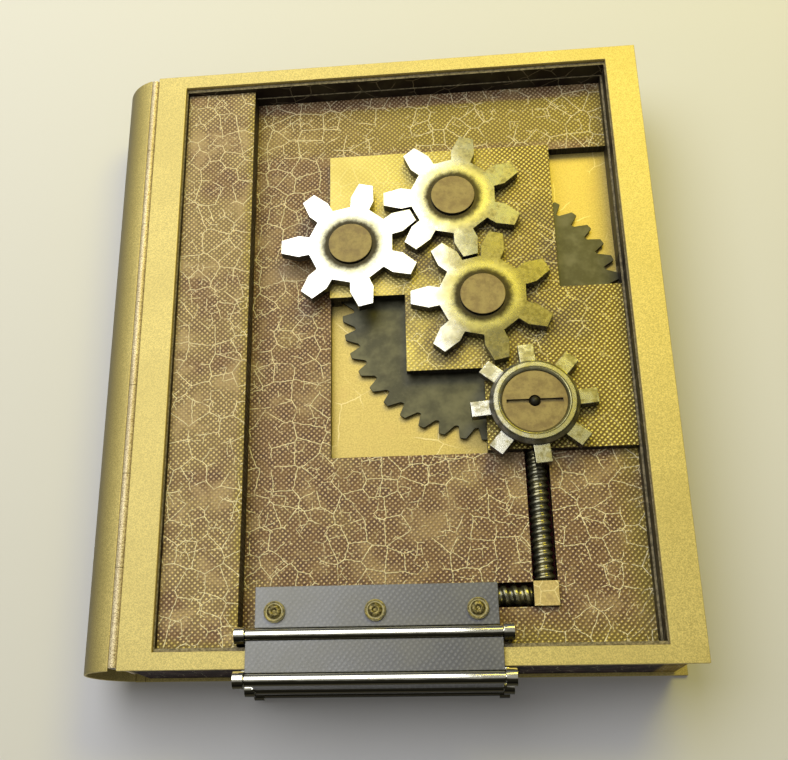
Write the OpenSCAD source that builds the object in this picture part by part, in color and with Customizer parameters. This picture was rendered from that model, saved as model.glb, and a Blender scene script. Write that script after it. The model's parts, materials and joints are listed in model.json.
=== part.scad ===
// Book-shaped puzzle box with a geared front cover, a hidden compartment and an
// articulated clasp. Turning the dial drives three gears, an index wheel, two screw
// shafts and a lock bolt.
// Book frame: X from the fold line to the fore edge, Y from the clasp edge to the head,
// Z up from the surface that the book rests on. book() then centres the cover on the origin.

/* [Book] */
// Width of the flat cover, from the fold line to the fore edge
cover_w = 195; // [193:1:198]
// Height of the cover, from the clasp edge to the head
cover_h = 242.4; // [240:0.1:246]
// Thickness of the closed book
book_t = 37; // [37:0.5:38]
// Thickness of the front cover's brass sheet
sheet = 1.6; // [1.2:0.1:1.8]
// Thickness of the back cover
back_t = 1; // [0.8:0.1:1.6]
// Sideways bulge of the spine beyond the fold line
spine_bulge = 16.5; // [16:0.1:17]

/* [Cover well] */
// Width of the frame along the spine and the fore edge
border_x = 12; // [11.5:0.1:12.5]
// Width of the frame along the head and the clasp edge
border_y = 6; // [5.8:0.1:6.5]
// Depth of the leather panel below the frame
panel_drop = 12.5; // [12:0.1:13]
// Depth of the side strip below the frame
strip_drop = 3.8; // [3:0.1:5]
// Width of the side strip
strip_w = 28.5; // [27:0.1:29]
// Height of the mechanism plate above the leather panel
plate_rise = 3.5; // [3.5:0.1:3.6]

/* [Gears] */
// Distance between neighbouring gear centres
gear_pitch = 44.5; // [44.4:0.1:45]
// Teeth on each of the three gears
gear_teeth = 7; // [7]
// Outer radius of the three gears
gear_tip_r = 27.2; // [27:0.1:27.2]
// Thickness of the gears
gear_t = 4; // [3.5:0.1:4]
// Teeth on the dial gear
dial_teeth = 8; // [8]
// Outer radius of the dial gear
dial_tip_r = 23; // [22.4:0.1:23]
// Distance between the dial and the third gear
dial_pitch = 46.8; // [46.8:0.1:47.2]
// Teeth on the index wheel
wheel_teeth = 42; // [40:1:48]
// Outer radius of the index wheel
wheel_tip_r = 54; // [52.5:0.1:54]

/* [Clasp] */
// Radius of the clasp barrels
barrel_r = 2.1; // [2:0.1:2.2]
// Radius of the clasp collars
collar_r = 2.9; // [2.7:0.1:2.9]
// Thickness of the clasp plates
clasp_t = 1.6; // [1.2:0.1:1.6]
// Length of the upper side leaf of the clasp, between its two rods
upper_l = 21.5; // [21:0.1:22]
// Length of the lower side leaf of the clasp
lower_l = 12.9; // [12.4:0.1:12.9]

/* [Hidden] */
$fn = 96;

// Running clearance of a shaft in its bore, and of two parts fixed to each other
run = 0.05;
snug = 0.02;

// Levels, measured up from the resting surface
top_z = book_t;
frame_z = book_t - sheet;
panel_z = book_t - panel_drop;
plate_z = panel_z + plate_rise;
strip_z = book_t - strip_drop;
floor_z = panel_z - 4.2;
floor_t = 1.2;
liner_z = 15;
liner_t = 1.2;
moulding_step_z = book_t - 8;
lining_t = 1.5;

// Opening of the frame, and how far the moulding's two ledges stand in from it, in X and Y
well_x = [border_x, cover_w - border_x];
well_y = [border_y, cover_h - border_y];
ledge_1 = [0.5, 1.4];
ledge_2 = [1.3, 1.9];
tub_wall = [2, 1.4];
panel_x = [border_x + strip_w, well_x[1] - ledge_2.x];
panel_y = [well_y[0] + ledge_2.y, well_y[1] - ledge_2.y];

// Windows that show the index wheel, and the outline of the mechanism plate
plate_x = [71.3, panel_x[1]];
plate_y = [76.6, 204];
notch = [100.2, 108.5, 128.7, 140.3];
window = [158.8, 140.6];

// Gear centres: all three gears stand at the same angle, so each pair meshes at rest
gear_turn = 25.2;
gear_c_at = [129.6, 136.4];
gear_b_at = gear_c_at + gear_pitch * [cos(gear_turn + 540 / gear_teeth), sin(gear_turn + 540 / gear_teeth)];
gear_a_at = gear_b_at - gear_pitch * [cos(gear_turn), sin(gear_turn)];
dial_line = -69.6;
dial_at = gear_c_at + dial_pitch * [cos(dial_line), sin(dial_line)];
// The dial has a gap where a tooth of the third gear comes in
mesh_offset = gear_turn - dial_line - 2 * 360 / gear_teeth;
dial_turn = dial_line + 180 - gear_teeth / dial_teeth * mesh_offset + 180 / dial_teeth;
gear_z = plate_z + 0.7;
gear_root_r = 16.6;
dial_rim_r = 15.5;
dial_disc_r = 11.7;
disc_t = 1.5;
axle_r = 3;
cap_r = 8.45;
cap_t = 1;
dial_ring_h = 2.5;

// Index wheel, between the floor and the mechanism plate
wheel_t = 1;
wheel_z = floor_z + 1;
wheel_depth = 4.5;
wheel_room_r = wheel_tip_r + 0.4;
// One leaning tooth, as shares of the pitch and of the depth: steep front, flat tip, long back
wheel_tooth = [[0, 0], [0.15, 0.93], [0.18, 1], [0.45, 1], [0.72, 0.28], [0.8, 0.07], [0.9, 0]];

// Screw shafts, in channels of the panel
shaft_z = panel_z - 2.9;
thread_r = 3.7;
thread_core_r = 2.9;
thread_pitch = 2.7;
journal_r = 1.6;
drive_x = dial_at.x;
lead_y = 25.2;
channel_w = 8.5;
block_w = 8.6;
block_wall = 0.9;
block_z = panel_z + 2;

// Peg crown below the dial and the pin pinion that it drives, 15 to 6
crown_pegs = 15;
crown_r = 11.5;
pinion_pins = 6;
pinion_tip_r = 5.2;
peg_r = 0.9;
peg_bottom = plate_z - 2.6;
pinion_y = dial_at.y - crown_r;
bearing_y = [pinion_y + 1.5, pinion_y + 2.3];

// Bevel pair inside the corner block
bevel_teeth = 8;
bevel_r = 2.8;
bevel_l = 1.4;

// Lock bolt: a nut on the thin end of the lead screw, with a hooked tongue
lead_thin_r = 2.4;
bolt_x = 112;
bolt_l = 10;
bolt_w = 7.8;
tongue_w = 4.4;
hook_z = [8.6, 11.4];
keeper_x = [bolt_x - 11, bolt_x - 0.7];

// Hinge between the case and the cover
hinge_r = 1.6;
hinge_pin_r = 0.8;
hinge_x = -1.7;
hinge_z = book_t - 1.7;
knuckles = 7;
knuckle_gap = 0.2;
knuckle_pitch = (cover_h - 2) / knuckles;

// Spine arc, through both lips and the bulge
lip_x = -3.4;
lip_z = 1.3;
spine_half = book_t / 2 - lip_z;
spine_sag = spine_bulge + lip_x;
spine_r = (spine_half * spine_half + spine_sag * spine_sag) / (2 * spine_sag);
spine_cx = spine_r - spine_bulge;
spine_t = 0.9;

// Page boards
board_y = [1.2, cover_h - 1.2];
board_t = 3.1;
spine_board_x = [1.5, 6];
fore_board_x = [187, 190.5];
board_top = frame_z - 0.2;

// Clasp: rods along X, at [y, z]
clasp_x = [44.4, 129.9];
leaf_x = [47.4, 129];
leaf_y = 27;
collar_x = [[40.6, 44.2], [130.1, 133.7]];
rod_1 = [10.95, book_t + 1];
rod_2 = [-3.7, book_t + 1];
rod_3 = [-4.3, rod_2[1] - upper_l];
rod_4 = [-4.4, rod_3[1] - lower_l];
// The end bar is shorter than the other rods, at both ends
bar_inset = 1.1;
// Magnets that hold the end bar
catch_x = [79, 95];
catch_y = rod_4[0] + barrel_r + 0.6;
magnet_r = 2;
magnet_t = 1.8;
clasp_pin_r = 1.2;
// Radius inside the barrel's wall, where a plate begins
barrel_wall_r = (barrel_r + clasp_pin_r) / 2;
// Distance from a rod's axis to the edge of the plate beside it
barrel_gap = barrel_r + 0.15;
leaf_z = rod_1[1] - clasp_t / 2;
screw_x = [54.1, 88.1, 122.1];
screw_y = 18.4;
screw_r = 3.65;

brass = "#c9ae57";
dark_brass = "#8f7a45";
leather = "#8a6248";
dark_leather = "#4b3a34";
nickel = "#c9c7bb";
gunmetal = "#5e5c4c";
pewter = "#8d8d90";
chrome = "#dfe0e2";
felt = "#5a1f26";

function turned(p, a) = [p.x * cos(a) - p.y * sin(a), p.x * sin(a) + p.y * cos(a)];
function on_circle(r, half_w) = [sqrt(r * r - half_w * half_w), half_w];
function around(count, points) =
    [for (i = [0 : count - 1]) for (p = points) turned(p, 360 * i / count)];

// Moves the book frame so that the cover's middle is on the origin
module book() translate([-cover_w / 2, -cover_h / 2, 0]) children();

// Box between two corners
module box(low, high) translate(low) cube(high - low);

// Box with an opening that leaves walls of the given insets
module ring_box(low, high, inset_x, inset_y) difference() {
    box(low, high);
    box([low.x + inset_x, low.y + inset_y, low.z - 1],
        [high.x - inset_x, high.y - inset_y, high.z + 1]);
}

// Cylinder along X, from x0 to x1, on the rod at [y, z]
module rod_x(x0, x1, at, r)
    translate([x0, at[0], at[1]]) rotate([0, 90, 0]) cylinder(h = x1 - x0, r = r);

// Cylinder along Y, from y0 to y1
module rod_y(y0, y1, x, z, r)
    translate([x, y1, z]) rotate([90, 0, 0]) cylinder(h = y1 - y0, r = r);

module post(at, z0, z1, r) translate([at.x, at.y, z0]) cylinder(h = z1 - z0, r = r);

module seven_teeth() polygon(around(gear_teeth, [
    on_circle(gear_root_r, -3.8), on_circle(20.8, -4.6), on_circle(gear_tip_r, -2.8),
    on_circle(gear_tip_r, 2.8), on_circle(20.8, 4.6), on_circle(gear_root_r, 3.8)]));

module eight_teeth() polygon(around(dial_teeth, [
    on_circle(dial_rim_r, -2.9), on_circle(dial_tip_r, -2.9),
    on_circle(dial_tip_r, 2.9), on_circle(dial_rim_r, 2.9)]));

module index_teeth() polygon([for (i = [0 : wheel_teeth - 1]) for (p = wheel_tooth)
    turned([wheel_tip_r - wheel_depth * (1 - p[1]), 0], (i + p[0]) * 360 / wheel_teeth)]);

// Ringed thread along Z: broad rounded ribs with narrow grooves
module thread(length, crest, core) {
    ribs = floor(length / thread_pitch);
    rib = length / ribs;
    rotate_extrude() polygon(concat([[0, 0]],
        [for (i = [0 : ribs - 1]) for (p = [[core, 0], [core, 0.14], [crest, 0.36], [crest, 0.78], [core, 1]])
            [p[0], (i + p[1]) * rib]],
        [[0, length]]));
}

module bevel_gear() rotate([0, 0, 180 / bevel_teeth])
    linear_extrude(height = bevel_l, scale = (bevel_r - bevel_l) / bevel_r)
        polygon(around(bevel_teeth, [
            on_circle(bevel_r - 0.5, -0.55), on_circle(bevel_r + 0.4, -0.25),
            on_circle(bevel_r + 0.4, 0.25), on_circle(bevel_r - 0.5, 0.55)]));

// Screw head with a low dome, base on z = 0
module dome_head(r, h) {
    ball_r = (r * r + h * h) / (2 * h);
    intersection() {
        translate([0, 0, h - ball_r]) sphere(r = ball_r);
        cylinder(h = h, r = r);
    }
}

// ---- Case ----

module back_cover() color(brass) book()
    ring_box([0, 0, 0], [cover_w, cover_h, back_t], border_x, border_x);

module back_panel() color(leather) book()
    box([border_x, border_x, 0], [cover_w - border_x, cover_h - border_x, back_t]);

module case_floor() color(felt) book()
    box([spine_board_x[1], board_y[0] + board_t, back_t],
        [fore_board_x[0], board_y[1] - board_t, back_t + lining_t]);

module spine_board() color(dark_leather) book()
    box([spine_board_x[0], board_y[0], back_t], [spine_board_x[1], board_y[1], frame_z - 1.8]);

module fore_board() color(dark_leather) book()
    box([fore_board_x[0], board_y[0], back_t], [fore_board_x[1], board_y[1], board_top]);

module head_board() color(dark_leather) book()
    box([spine_board_x[1], board_y[1] - board_t, back_t], [fore_board_x[0], board_y[1], board_top]);

module tail_board() color(dark_leather) book()
    box([spine_board_x[1], board_y[0], back_t],
        [fore_board_x[0], board_y[0] + board_t, board_top]);

module spine_shell() color(brass) book() translate([0, cover_h, 0]) rotate([90, 0, 0])
    linear_extrude(height = cover_h) union() {
        difference() {
            translate([spine_cx, book_t / 2]) circle(r = spine_r);
            translate([spine_cx, book_t / 2]) circle(r = spine_r - spine_t);
            translate([lip_x, -1]) square([3 * spine_r, book_t + 2]);
        }
        translate([lip_x - 0.6, 0]) square([-lip_x + 0.6, lip_z + 0.2]);
    }

module spine_ribs() color(dark_leather) book() for (y = [12, cover_h / 2, cover_h - 12])
    translate([0, y + 3, 0]) rotate([90, 0, 0]) linear_extrude(height = 6) difference() {
        translate([spine_cx, book_t / 2]) circle(r = spine_r - spine_t - snug);
        translate([0.3 - snug, -1]) square([3 * spine_r, book_t + 2]);
        translate([-2 * spine_r, hinge_z - 4]) square(4 * spine_r);
        translate([lip_x - 1, -1]) square([10, lip_z + 1.3]);
    }

module hinge_case_leaf() color(dark_brass) book() difference() {
    union() {
        box([0.3, 1, 18], [spine_board_x[0], cover_h - 1, hinge_z - 1.9]);
        for (i = [0 : 2 : knuckles - 1]) {
            y0 = 1 + i * knuckle_pitch + knuckle_gap / 2;
            y1 = y0 + knuckle_pitch - knuckle_gap;
            rod_y(y0, y1, hinge_x, hinge_z, hinge_r);
            box([hinge_x - 1.2, y0, hinge_z - 3.3], [hinge_x + 1.2, y1, hinge_z - 1]);
            box([hinge_x - 1.2, y0, hinge_z - 3.3], [0.4, y1, hinge_z - 1.9]);
        }
    }
    rod_y(-1, cover_h + 1, hinge_x, hinge_z, hinge_pin_r + snug);
}

module hinge_pin() color(nickel) book()
    rod_y(1, cover_h - 1, hinge_x, hinge_z, hinge_pin_r);

module lock_keeper() color(nickel) book() {
    wall_y = board_y[0] + board_t;
    box([keeper_x[0], wall_y, hook_z[0] - 5], [keeper_x[1], wall_y + 1.6, hook_z[1] + 0.9]);
    box([keeper_x[0], wall_y, hook_z[1] + 0.8], [keeper_x[1], 18, hook_z[1] + 2.4]);
}

module keeper_screws() color(dark_brass) book() for (x = keeper_x + [2.4, -2.4])
    translate([x, board_y[0] + board_t + 1.6, hook_z[0] - 1.6]) rotate([-90, 0, 0]) dome_head(1.6, 0.9);

module catch_block() color(dark_brass) book() difference() {
    box([catch_x[0] - 7, catch_y, 2], [catch_x[1] + 7, board_y[0], 7]);
    for (x = catch_x) rod_y(catch_y - 1, catch_y + magnet_t, x, 4.5, magnet_r);
}

module catch_magnets() color(nickel) book()
    for (x = catch_x) rod_y(catch_y, catch_y + magnet_t, x, 4.5, magnet_r - snug);

// ---- Cover ----

module cover_frame() color(brass) book()
    ring_box([0, 0, frame_z], [cover_w, cover_h, top_z], border_x, border_y);

module cover_moulding() color(gunmetal) book() difference() {
    box([well_x[0] - tub_wall.x, well_y[0] - tub_wall.y, liner_z],
        [well_x[1] + tub_wall.x, well_y[1] + tub_wall.y, frame_z]);
    box([well_x[0] + ledge_1.x, well_y[0] + ledge_1.y, moulding_step_z],
        [well_x[1] - ledge_1.x, well_y[1] - ledge_1.y, frame_z + 1]);
    box([well_x[0] + ledge_2.x, panel_y[0], liner_z - 1],
        [panel_x[1], panel_y[1], moulding_step_z + 1]);
    post(gear_c_at, wheel_z - 0.5, wheel_z + wheel_t + 0.5, wheel_room_r);
}

module cover_liner() color(felt) book() difference() {
    box([well_x[0] + ledge_2.x, panel_y[0], liner_z], [panel_x[1], panel_y[1], liner_z + liner_t]);
    box([bolt_x - 9, lead_y - tongue_w / 2 - 0.5, 0], [bolt_x + 7, lead_y + tongue_w / 2 + 0.5, 20]);
}

module floor_spacer() color(dark_leather) book() ring_box(
    [well_x[0] + ledge_2.x, panel_y[0], liner_z + liner_t], [panel_x[1], panel_y[1], floor_z - floor_t], 8, 8);

module channels(z0, z1) {
    box([drive_x - channel_w / 2, lead_y, z0], [drive_x + channel_w / 2, bearing_y[1], z1]);
    box([bolt_x - 9.5, lead_y - channel_w / 2, z0], [drive_x, lead_y + channel_w / 2, z1]);
    box([drive_x - channel_w / 2 - 0.1, lead_y - block_w / 2, z0],
        [drive_x + channel_w / 2 + 0.1, lead_y + block_w / 2, z1]);
    pinion_room(z0, z1);
}

// Room for the pin pinion below the crown
module pinion_room(z0, z1)
    box([drive_x - 6, pinion_y - 1.7, z0], [drive_x + 6, pinion_y + 1.7, z1]);

module floor_plate() color(brass) book() difference() {
    box([well_x[0] + ledge_2.x, panel_y[0], floor_z - floor_t], [panel_x[1], panel_y[1], floor_z]);
    channels(floor_z - 5, floor_z + 1);
    post(gear_c_at, floor_z - 5, floor_z + 1, 2 + run);
}

module side_strip() color(leather) book() {
    box([well_x[0] + ledge_1.x, well_y[0] + ledge_1.y, moulding_step_z],
        [panel_x[0], well_y[1] - ledge_1.y, strip_z]);
    box([well_x[0] + ledge_2.x, panel_y[0], floor_z], [panel_x[0], panel_y[1], moulding_step_z]);
}

module windows(z0, z1) {
    box([plate_x[0], plate_y[0], z0], [notch[0], notch[3], z1]);
    box([plate_x[0], plate_y[0], z0], [notch[2], notch[1], z1]);
    box([window[0], window[1], z0], [plate_x[1], plate_y[1], z1]);
}

module main_panel() color(leather) book() difference() {
    box([panel_x[0], panel_y[0], floor_z], [panel_x[1], panel_y[1], panel_z]);
    windows(floor_z - 1, panel_z + 1);
    post(gear_c_at, floor_z - 1, panel_z + 1, wheel_room_r);
    channels(floor_z - 1, panel_z + 1);
}

module mechanism_plate() color(brass) book() difference() {
    box([plate_x[0], plate_y[0], panel_z], [plate_x[1], plate_y[1], plate_z]);
    windows(panel_z - 1, plate_z + 1);
    for (at = [gear_a_at, gear_b_at, dial_at]) post(at, panel_z - 1, plate_z + 1, axle_r + snug);
    post(gear_c_at, panel_z - 1, plate_z + 1, axle_r + run);
    difference() {
        post(dial_at, peg_bottom - 0.2, plate_z + 1, crown_r + peg_r + 0.4);
        post(dial_at, peg_bottom - 1, plate_z + 2, crown_r - peg_r - 0.4);
    }
    pinion_room(panel_z - 1, plate_z + 1);
    box([drive_x - thread_r - 0.3, plate_y[0] - 1, panel_z - 1],
        [drive_x + thread_r + 0.3, pinion_y, shaft_z + thread_r + 0.3]);
}

module corner_block() color(brass) book() difference() {
    inner = block_w / 2 - block_wall;
    box([drive_x - block_w / 2, lead_y - block_w / 2, liner_z + liner_t],
        [drive_x + block_w / 2, lead_y + block_w / 2, block_z]);
    box([drive_x - inner, lead_y - inner, shaft_z - inner], [drive_x + inner, lead_y + inner, shaft_z + inner]);
    rod_y(lead_y, lead_y + block_w, drive_x, shaft_z, journal_r + run);
    rod_x(drive_x - block_w, drive_x, [lead_y, shaft_z], journal_r + run);
}

module shaft_bearing() color(dark_brass) book() difference() {
    box([drive_x - channel_w / 2, bearing_y[0], liner_z + liner_t],
        [drive_x + channel_w / 2, bearing_y[1], panel_z]);
    rod_y(0, cover_h, drive_x, shaft_z, journal_r + run);
}

module hinge_cover_leaf() color(dark_brass) book() difference() {
    union() {
        box([0, 1, hinge_z - 1.3], [spine_board_x[1] - 0.2, cover_h - 1, frame_z]);
        for (i = [1 : 2 : knuckles - 1]) {
            y0 = 1 + i * knuckle_pitch + knuckle_gap / 2;
            y1 = y0 + knuckle_pitch - knuckle_gap;
            rod_y(y0, y1, hinge_x, hinge_z, hinge_r);
            box([hinge_x, y0, hinge_z - 1.3], [0.1, y1, hinge_z - 0.1]);
        }
    }
    rod_y(-1, cover_h + 1, hinge_x, hinge_z, hinge_pin_r + run);
}

// Fixed post of an idle gear, with the shoulder that the gear turns on
module axle_post(at) {
    post(at, panel_z, gear_z + gear_t + run, axle_r);
    post(at, plate_z, gear_z - run, 5);
}

module axle_cap(at) post(at, gear_z + gear_t + run, gear_z + gear_t + run + cap_t, cap_r);

module axle_post_a() color(nickel) book() axle_post(gear_a_at);
module axle_post_b() color(nickel) book() axle_post(gear_b_at);
module axle_cap_a() color(dark_brass) book() axle_cap(gear_a_at);
module axle_cap_b() color(dark_brass) book() axle_cap(gear_b_at);
module axle_cap_c() color(dark_brass) book() axle_cap(gear_c_at);

module dial_stud() color(gunmetal) book() {
    post(dial_at, panel_z, gear_z + gear_t - 0.1, axle_r);
    post(dial_at, plate_z, gear_z - run, 5);
    post(dial_at, gear_z + gear_t - 0.2, gear_z + gear_t + 0.6, 1.9);
    translate([dial_at.x, dial_at.y, gear_z + gear_t + 0.6]) sphere(r = 1.9);
}

// ---- Clasp parts fixed to the cover ----

module clasp_pad() color(leather) book()
    box([leaf_x[0] + 1, rod_1[0] + 3.2, panel_z], [leaf_x[1] - 3.2, leaf_y - 0.8, leaf_z]);

module clasp_bracket() color(chrome) book() difference() {
    union() {
        box([collar_x[0][0], rod_1[0] - 1.4, panel_z],
            [collar_x[1][1], rod_1[0] + 1.4, rod_1[1] - barrel_r - 1.5]);
        for (c = collar_x) {
            box([c[0], rod_1[0] - 1.4, panel_z], [c[1], rod_1[0] + 1.4, rod_1[1] - 1]);
            rod_x(c[0], c[1], rod_1, collar_r);
        }
    }
    rod_x(0, cover_w, rod_1, clasp_pin_r + snug);
}

module clasp_leaf() color(pewter) book()
    box([leaf_x[0], rod_1[0] + barrel_gap, leaf_z], [leaf_x[1], leaf_y, leaf_z + clasp_t]);

module clasp_screws() color(dark_brass) book()
    for (x = screw_x) translate([x, screw_y, leaf_z + clasp_t]) dome_head(screw_r, 1.9);

module clasp_pin_1() color(chrome) book() clasp_pin(rod_1);

// ---- Gear train ----

module gear(at, bore) difference() {
    translate([at.x, at.y, gear_z]) rotate([0, 0, gear_turn]) linear_extrude(height = gear_t) seven_teeth();
    post(at, gear_z - 1, gear_z + gear_t + 1, bore);
}

module gear_a() color(nickel) book() gear(gear_a_at, axle_r + run);
module gear_b() color(nickel) book() gear(gear_b_at, axle_r + run);
module gear_c() color(nickel) book() gear(gear_c_at, axle_r + snug);

module wheel_arbor() color(nickel) book() {
    post(gear_c_at, wheel_z, gear_z + gear_t + run, axle_r);
    post(gear_c_at, wheel_z + wheel_t, panel_z - 0.2, 6);
    post(gear_c_at, floor_z + 0.3, wheel_z, 5);
    post(gear_c_at, floor_z - floor_t + 0.2, floor_z + 0.4, 2);
}

module index_wheel() color(gunmetal) book() difference() {
    translate([gear_c_at.x, gear_c_at.y, wheel_z]) linear_extrude(height = wheel_t) index_teeth();
    post(gear_c_at, 0, book_t, axle_r + snug);
}

module dial_gear() color(nickel) book() difference() {
    translate([dial_at.x, dial_at.y, gear_z]) rotate([0, 0, dial_turn])
        linear_extrude(height = gear_t) eight_teeth();
    post(dial_at, gear_z - 1, gear_z + gear_t + 1, axle_r + run);
}

// The rim slopes out to a thin foot, and its inner edge is chamfered
module dial_ring() color(nickel) book() translate([dial_at.x, dial_at.y, gear_z + gear_t])
    rotate_extrude() polygon([
        [dial_disc_r, 0], [dial_rim_r + 0.7, 0], [dial_rim_r + 0.7, 0.5], [dial_rim_r - 0.6, dial_ring_h],
        [dial_disc_r + 0.9, dial_ring_h], [dial_disc_r, dial_ring_h - 0.8]]);

module dial_disc() color(dark_brass) book() difference() {
    post(dial_at, gear_z + gear_t, gear_z + gear_t + disc_t, dial_disc_r - snug);
    post(dial_at, gear_z, gear_z + gear_t + 5, 2.1);
    translate([dial_at.x, dial_at.y, gear_z + gear_t + disc_t])
        cube([20, 1.4, 2 * (disc_t - 0.3)], center = true);
}

module dial_pegs() color(nickel) book() for (i = [0 : crown_pegs - 1])
    post(dial_at + crown_r * [cos(-90 + (i + 0.5) * 360 / crown_pegs), sin(-90 + (i + 0.5) * 360 / crown_pegs)],
        peg_bottom, gear_z, peg_r);

// ---- Screw shafts and lock bolt ----

module drive_screw() color(gunmetal) book() {
    y0 = lead_y + block_w / 2 + 0.4;
    y1 = pinion_y - 2.3;
    translate([drive_x, y0, shaft_z]) rotate([-90, 0, 0]) thread(y1 - y0, thread_r, thread_core_r);
    rod_y(lead_y + bevel_r, y0 + 1, drive_x, shaft_z, journal_r);
    rod_y(y1 - 1, bearing_y[1] - 0.1, drive_x, shaft_z, journal_r);
}

module drive_pinion() color(nickel) book() difference() {
    union() {
        rod_y(pinion_y - 1.4, pinion_y + 1.4, drive_x, shaft_z, 2.6);
        for (i = [0 : pinion_pins - 1]) translate([drive_x, pinion_y, shaft_z])
            rotate([0, i * 360 / pinion_pins, 0]) cylinder(h = pinion_tip_r, r = peg_r);
    }
    rod_y(0, cover_h, drive_x, shaft_z, journal_r + snug);
}

module drive_bevel() color(nickel) book() translate([drive_x, lead_y + bevel_r, shaft_z])
    rotate([90, 0, 0]) rotate([0, 0, 180 / bevel_teeth]) bevel_gear();

module lead_screw() color(gunmetal) book() {
    x0 = leaf_x[1] - 2.8;
    x1 = drive_x - block_w / 2 - 0.4;
    translate([x0, lead_y, shaft_z]) rotate([0, 90, 0]) thread(x1 - x0, thread_r, thread_core_r);
    rod_x(x1 - 1, drive_x - bevel_r, [lead_y, shaft_z], journal_r);
    rod_x(bolt_x - 8.5, x0 + 1, [lead_y, shaft_z], lead_thin_r);
}

module lead_bevel() color(nickel) book() translate([drive_x - bevel_r, lead_y, shaft_z])
    rotate([0, 90, 0]) bevel_gear();

module lock_bolt() color(nickel) book() difference() {
    union() {
        box([bolt_x, lead_y - bolt_w / 2, liner_z + liner_t + 0.4],
            [bolt_x + bolt_l, lead_y + bolt_w / 2, panel_z - 0.2]);
        box([bolt_x, lead_y - tongue_w / 2, hook_z[0]],
            [bolt_x + 6, lead_y + tongue_w / 2, liner_z + liner_t + 1]);
        box([bolt_x, 13, hook_z[0]], [bolt_x + 6, lead_y + tongue_w / 2, hook_z[1]]);
    }
    rod_x(0, cover_w, [lead_y, shaft_z], lead_thin_r + run);
}

// ---- Clasp links ----

// Moves a plate's own frame to its place: X along the rods, Y from one rod to the next
module along(from, to) translate([0, from[0], from[1]])
    rotate([atan2(to[1] - from[1], to[0] - from[0]), 0, 0]) children();

// Plate that reaches towards the next rod, with the barrel that turns on its own rod
module barrel_plate(reach) difference() {
    union() {
        rod_x(clasp_x[0], clasp_x[1], [0, 0], barrel_r);
        box([clasp_x[0], barrel_wall_r, -clasp_t / 2], [clasp_x[1], reach, clasp_t / 2]);
    }
    rod_x(clasp_x[0] - 1, clasp_x[1] + 1, [0, 0], clasp_pin_r + run);
}

// Collars at the far rod of a plate, with the small ears that join them to it
module end_collars(reach) difference() {
    union() {
        for (c = collar_x) rod_x(c[0], c[1], [reach, 0], collar_r);
        for (ear = [[collar_x[0][1] - 1, clasp_x[0]], [clasp_x[1], collar_x[1][0] + 1]])
            box([ear[0], reach - barrel_r - 0.9, -0.7], [ear[1], reach - barrel_gap, 0.7]);
    }
    rod_x(0, cover_w, [reach, 0], clasp_pin_r + snug);
}

module clasp_pin(at) rod_x(collar_x[0][0], collar_x[1][1], at, clasp_pin_r);

module link_plate() color(pewter) book()
    along(rod_1, rod_2) barrel_plate(norm(rod_2 - rod_1) - barrel_gap);
module link_collars() color(chrome) book() along(rod_1, rod_2) end_collars(norm(rod_2 - rod_1));
module clasp_pin_2() color(chrome) book() clasp_pin(rod_2);

module upper_flap() color(pewter) book()
    along(rod_2, rod_3) barrel_plate(norm(rod_3 - rod_2) - barrel_gap);
module upper_collars() color(chrome) book() along(rod_2, rod_3) end_collars(norm(rod_3 - rod_2));
module clasp_pin_3() color(chrome) book() clasp_pin(rod_3);

// The last leaf ends in a solid bar that the magnets hold
module lower_flap() color(pewter) book() along(rod_3, rod_4) {
    reach = norm(rod_4 - rod_3);
    ends = [collar_x[0][0] + bar_inset, collar_x[1][1] - bar_inset];
    knob = collar_x[0][1] - collar_x[0][0];
    barrel_plate(reach - barrel_wall_r);
    rod_x(ends[0], ends[1], [reach, 0], barrel_r);
    rod_x(ends[0], ends[0] + knob, [reach, 0], collar_r);
    rod_x(ends[1] - knob, ends[1], [reach, 0], collar_r);
}

back_cover();
back_panel();
case_floor();
spine_board();
fore_board();
head_board();
tail_board();
spine_shell();
spine_ribs();
hinge_case_leaf();
hinge_pin();
lock_keeper();
keeper_screws();
catch_block();
catch_magnets();
cover_frame();
cover_moulding();
cover_liner();
floor_spacer();
floor_plate();
side_strip();
main_panel();
mechanism_plate();
corner_block();
shaft_bearing();
hinge_cover_leaf();
axle_post_a();
axle_cap_a();
axle_post_b();
axle_cap_b();
dial_stud();
clasp_pad();
clasp_bracket();
clasp_leaf();
clasp_screws();
clasp_pin_1();
gear_a();
gear_b();
gear_c();
wheel_arbor();
axle_cap_c();
index_wheel();
dial_gear();
dial_ring();
dial_disc();
dial_pegs();
drive_screw();
drive_pinion();
drive_bevel();
lead_screw();
lead_bevel();
lock_bolt();
link_plate();
link_collars();
clasp_pin_2();
upper_flap();
upper_collars();
clasp_pin_3();
lower_flap();
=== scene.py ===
"""Looks of the geared book box: materials, threads, screws, lights and camera."""

import json
import math

import bmesh
import bpy
from mathutils import Matrix, Vector


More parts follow.
